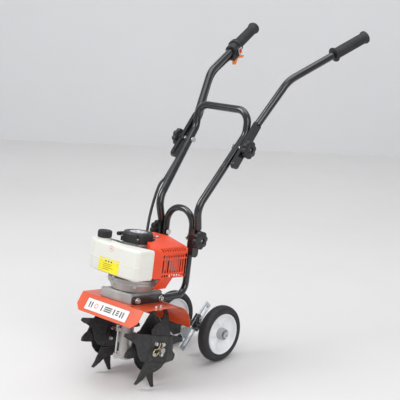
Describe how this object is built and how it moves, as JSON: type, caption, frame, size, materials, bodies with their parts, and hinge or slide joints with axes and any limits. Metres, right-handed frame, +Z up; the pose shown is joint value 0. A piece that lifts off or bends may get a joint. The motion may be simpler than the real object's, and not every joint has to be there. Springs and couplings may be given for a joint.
{
  "type": "mini cultivator",
  "caption": "Walk-behind mini cultivator: upright engine over a worm gearbox with star tines, sheet fender, folding handles and height-adjustable transport wheels.",
  "frame": {"origin": "on the ground under the middle of the machine's length and width, at the bottom centre of its box", "axes": "+Z up; -Y is the front, where the tines are; +Y is the rear, where the grips are; +X is the machine's left side"},
  "size_m": [0.4724, 0.8859, 0.945],
  "materials": {
    "cast_grey": "sand-cast grey, satin",
    "zinc_bolts": "bright zinc",
    "orange_paint": "semi-gloss powder coat",
    "bearing_bronze": "machined",
    "machined_steel": "turned",
    "tine_black": "satin black coat on steel",
    "yellow_zinc": "yellow zinc spring wire",
    "cast_alloy": "die cast",
    "clutch_lining": "sintered",
    "black_rubber": "matte",
    "muffler_steel": "pressed sheet",
    "orange_plastic": "moulded, semi-gloss",
    "black_plastic": "moulded, fine texture",
    "white_plastic": "moulded",
    "tank_plastic": "blow-moulded, translucent white",
    "black_paint": "gloss black powder coat",
    "knob_plastic": "moulded, satin",
    "grip_rubber": "ribbed, matte",
    "trigger_orange": "moulded",
    "switch_red": "moulded",
    "cable_sleeve": "smooth sleeve",
    "zinc_plate": "blue-white zinc",
    "tyre_rubber": "smooth tread",
    "white_rim": "moulded white"
  },
  "bodies": {
    "chassis": {"base_block": "cast_grey", "chassis_bolts": "zinc_bolts", "fender": "orange_paint", "gear_case": "cast_grey", "gearbox_bearings": "bearing_bronze", "clutch_housing": "cast_grey", "crankcase": "cast_grey", "cylinder": "cast_alloy", "spark_plug_boot": "black_rubber", "muffler": "muffler_steel", "cylinder_cover": "orange_plastic", "carburetor": "cast_alloy", "air_filter_box": "black_plastic", "air_filter_cover": "orange_plastic", "starter_housing": "black_plastic", "engine_screws": "zinc_bolts", "fuel_tank": "tank_plastic", "lower_loop": "black_paint", "cable_lower": "cable_sleeve", "tail_bracket": "black_paint", "adjuster_bar": "zinc_plate"},
    "tine_rotor": {"tine_axle": "machined_steel", "tine_hubs": "tine_black", "tine_left": "tine_black", "tine_right": "tine_black", "tine_bolts": "zinc_bolts", "hairpin_clips": "yellow_zinc", "worm_wheel": "bearing_bronze"},
    "drive_shaft": {"worm_shaft": "machined_steel", "clutch_drum": "machined_steel"},
    "crank": {"crankshaft": "machined_steel", "clutch_shoes": "clutch_lining", "flywheel": "cast_alloy"},
    "piston": {"piston": "cast_alloy"},
    "choke": {"choke_lever": "black_plastic"},
    "starter_pulley": {"starter_pulley": "white_plastic"},
    "starter_grip": {"starter_grip": "black_plastic"},
    "fuel_cap": {"fuel_cap": "black_plastic"},
    "handle_middle": {"handle_middle": "black_paint", "upper_pivot_bolts": "zinc_bolts", "cable_middle": "cable_sleeve"},
    "handlebar_left": {"handlebar_left": "black_paint", "grip_left": "grip_rubber"},
    "handlebar_right": {"handlebar_right": "black_paint", "grip_right": "grip_rubber", "throttle_housing": "black_plastic", "cable_upper": "cable_sleeve"},
    "throttle_trigger": {"throttle_trigger": "trigger_orange"},
    "kill_switch": {"kill_switch": "switch_red"},
    "knob_lower_left": {"knob_lower_left": "knob_plastic"},
    "knob_lower_right": {"knob_lower_right": "knob_plastic"},
    "knob_upper_left": {"knob_upper_left": "knob_plastic"},
    "knob_upper_right": {"knob_upper_right": "knob_plastic"},
    "wheel_carriage": {"wheel_saddle": "black_paint", "wheel_axle": "machined_steel", "axle_nuts": "zinc_bolts"},
    "wheel_left": {"tyre_left": "tyre_rubber", "rim_left": "white_rim"},
    "wheel_right": {"tyre_right": "tyre_rubber", "rim_right": "white_rim"}
  },
  "joints": [
    {"name": "tine_spin", "type": "hinge", "parent": "chassis", "child": "tine_rotor", "pos_m": [0, -0.331, 0.1123], "axis": [1, 0, 0], "continuous": true},
    {"name": "drive_spin", "type": "hinge", "parent": "chassis", "child": "drive_shaft", "pos_m": [0, -0.33937, 0.16413], "axis": [0, 0.149, 0.9888], "continuous": true},
    {"name": "crank_spin", "type": "hinge", "parent": "chassis", "child": "crank", "pos_m": [0, -0.31434, 0.33025], "axis": [0, 0.149, 0.9888], "continuous": true},
    {"name": "piston_stroke", "type": "slide", "parent": "chassis", "child": "piston", "axis": [0, 0.9888, -0.149], "range_m": [0, 0.0275]},
    {"name": "choke_turn", "type": "hinge", "parent": "chassis", "child": "choke", "pos_m": [-0.066, -0.27248, 0.36642], "axis": [0, 0.149, 0.9888], "range_deg": [0, 60]},
    {"name": "starter_pull", "type": "slide", "parent": "chassis", "child": "starter_grip", "axis": [-1, 0, 0], "range_m": [0, 0.03], "stiffness_N_per_m": 60},
    {"name": "starter_pulley_spin", "type": "hinge", "parent": "chassis", "child": "starter_pulley", "pos_m": [0, -0.30361, 0.40145], "axis": [0, 0.149, 0.9888], "range_deg": [-105, 0]},
    {"name": "fuel_cap_turn", "type": "hinge", "parent": "chassis", "child": "fuel_cap", "pos_m": [-0.062, -0.36961, 0.40634], "axis": [0, 0.149, 0.9888], "range_deg": [0, 270]},
    {"name": "handle_fold", "type": "hinge", "parent": "chassis", "child": "handle_middle", "pos_m": [0, -0.14228, 0.37815], "axis": [1, 0, 0], "range_deg": [-30, 45]},
    {"name": "handlebar_fold_left", "type": "hinge", "parent": "handle_middle", "child": "handlebar_left", "pos_m": [0.117, -0.001, 0.626], "axis": [1, 0, 0], "range_deg": [0, 155]},
    {"name": "handlebar_fold_right", "type": "hinge", "parent": "handle_middle", "child": "handlebar_right", "pos_m": [-0.117, -0.001, 0.626], "axis": [1, 0, 0], "range_deg": [0, 155]},
    {"name": "throttle_pull", "type": "hinge", "parent": "handlebar_right", "child": "throttle_trigger", "pos_m": [-0.18763, 0.31103, 0.84993], "axis": [0.9734, 0.2289, 0], "range_deg": [0, 16], "stiffness_Nm_per_rad": 0.4},
    {"name": "kill_switch_rock", "type": "hinge", "parent": "handlebar_right", "child": "kill_switch", "pos_m": [-0.16278, 0.30143, 0.8633], "axis": [-0.085, 0.3616, -0.9284], "range_deg": [-8, 8]},
    {"name": "knob_turn_lower_left", "type": "hinge", "parent": "chassis", "child": "knob_lower_left", "pos_m": [0.08, -0.14228, 0.37815], "axis": [1, 0, 0], "range_deg": [0, 360]},
    {"name": "knob_turn_lower_right", "type": "hinge", "parent": "chassis", "child": "knob_lower_right", "pos_m": [-0.08, -0.14228, 0.37815], "axis": [-1, 0, 0], "range_deg": [0, 360]},
    {"name": "knob_turn_upper_left", "type": "hinge", "parent": "handle_middle", "child": "knob_upper_left", "pos_m": [0.13, -0.001, 0.626], "axis": [1, 0, 0], "range_deg": [0, 360]},
    {"name": "knob_turn_upper_right", "type": "hinge", "parent": "handle_middle", "child": "knob_upper_right", "pos_m": [-0.13, -0.001, 0.626], "axis": [-1, 0, 0], "range_deg": [0, 360]},
    {"name": "wheel_slide", "type": "slide", "parent": "chassis", "child": "wheel_carriage", "axis": [0, 0.7193, 0.6947], "range_m": [-0.045, 0.04]},
    {"name": "wheel_spin_left", "type": "hinge", "parent": "wheel_carriage", "child": "wheel_left", "pos_m": [0.095, -0.0624, 0.083], "axis": [1, 0, 0], "continuous": true},
    {"name": "wheel_spin_right", "type": "hinge", "parent": "wheel_carriage", "child": "wheel_right", "pos_m": [-0.095, -0.0624, 0.083], "axis": [1, 0, 0], "continuous": true}
  ],
  "couplings": [
    {"joint": "drive_spin", "follows": "tine_spin", "ratio": 23},
    {"joint": "starter_pulley_spin", "follows": "starter_pull", "rad_per_m": -60}
  ]
}
